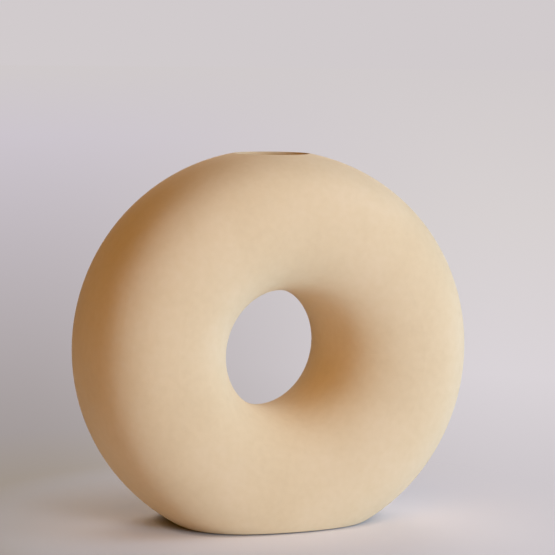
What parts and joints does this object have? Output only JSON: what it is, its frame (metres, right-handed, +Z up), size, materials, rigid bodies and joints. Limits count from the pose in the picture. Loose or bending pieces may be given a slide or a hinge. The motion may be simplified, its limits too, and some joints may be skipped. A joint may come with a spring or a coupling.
{
  "type": "donut vase",
  "caption": "Free-standing hollow ring vase on a flat padded foot, with a round thin-lipped mouth cut flat through its crown to take stems.",
  "frame": {"origin": "on the surface that the vase stands on, at the level of the pads' lower faces, under the middle of the ring", "axes": "+X along the ring's width, +Y along the ring's axis from front to back, +Z up through the mouth"},
  "size_m": [0.216, 0.098, 0.2],
  "materials": {
    "clay": "smooth matte fired clay, pale yellow beige",
    "glaze": "clear gloss glaze over the beige clay",
    "pad": "soft cloudy silicone"
  },
  "bodies": {
    "root": {"ring_body": "clay", "inner_glaze": "glaze", "foot_pad_1": "pad", "foot_pad_2": "pad", "foot_pad_3": "pad", "foot_pad_4": "pad"}
  },
  "joints": []
}
